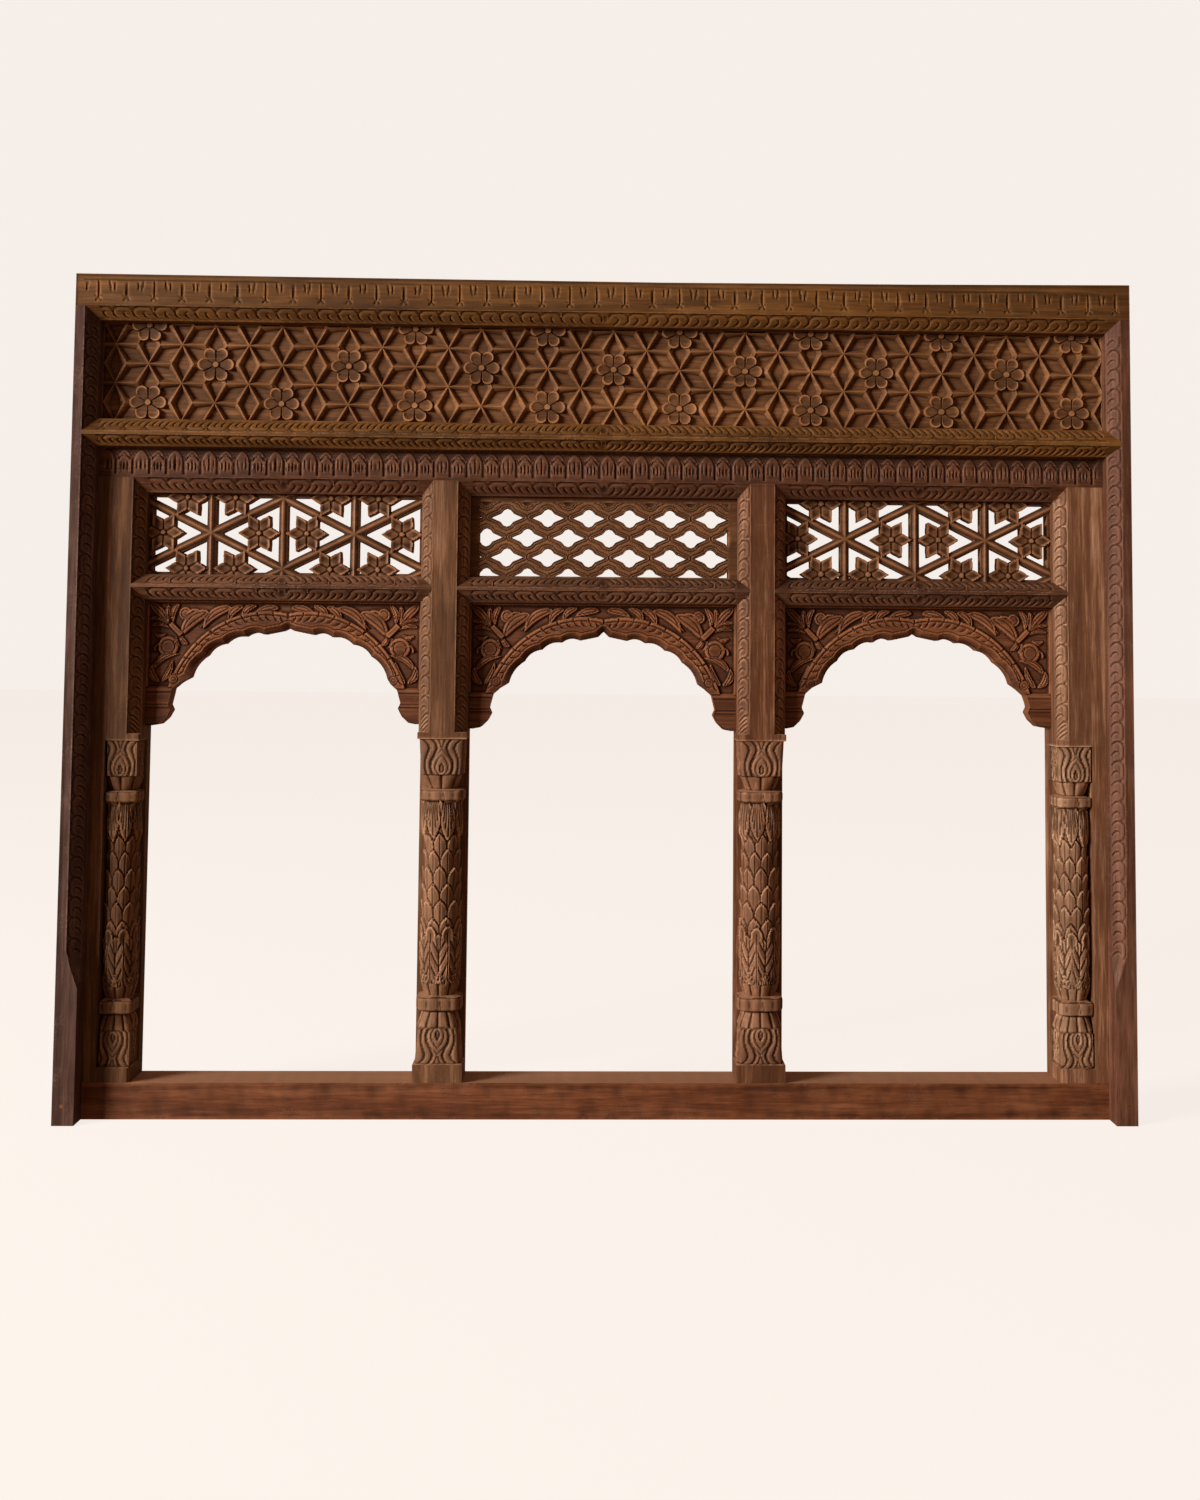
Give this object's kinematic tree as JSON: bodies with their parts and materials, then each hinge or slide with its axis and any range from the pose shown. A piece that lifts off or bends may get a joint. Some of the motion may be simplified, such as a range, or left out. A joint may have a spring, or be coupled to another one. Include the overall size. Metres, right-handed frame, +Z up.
{
  "type": "carved arched window",
  "caption": "Carved timber window frame: star lattice panel over pierced screens and cusped arched bays between carved columns on a plain sill.",
  "frame": {"origin": "middle of the underside: halfway along the width and halfway through the depth, at the foot of the jambs and sill", "axes": "+X to the viewer's right along the sill, +Z up, the carved front faces -Y, the plain back faces +Y"},
  "size_m": [1.9, 0.127, 1.502],
  "materials": {
    "head_wood": "old hardwood, hand carved, golden brown, dull wax",
    "jamb_wood": "old hardwood, purple brown, dry and checked",
    "post_wood": "old hardwood, hand carved, mid brown, dull wax",
    "screen_wood": "old hardwood, pierced, mid brown, dusty",
    "arch_wood": "old hardwood, hand carved, reddish brown",
    "sill_wood": "old hardwood, plain, reddish with streaky grain",
    "peg_wood": "end grain hardwood peg, dark"
  },
  "bodies": {
    "root": {"arch_board_left": "arch_wood", "arch_board_middle": "arch_wood", "arch_board_right": "arch_wood", "cross_rail_left": "post_wood", "cross_rail_middle": "post_wood", "cross_rail_right": "post_wood", "frieze_rail": "post_wood", "head_rail": "head_wood", "left_jamb": "jamb_wood", "left_peg": "peg_wood", "post_1": "post_wood", "post_2": "post_wood", "post_3": "post_wood", "post_4": "post_wood", "right_jamb": "jamb_wood", "right_peg": "peg_wood", "screen_left": "screen_wood", "screen_middle": "screen_wood", "screen_right": "screen_wood", "sill": "sill_wood", "star_panel": "head_wood", "transom": "head_wood"}
  },
  "joints": []
}
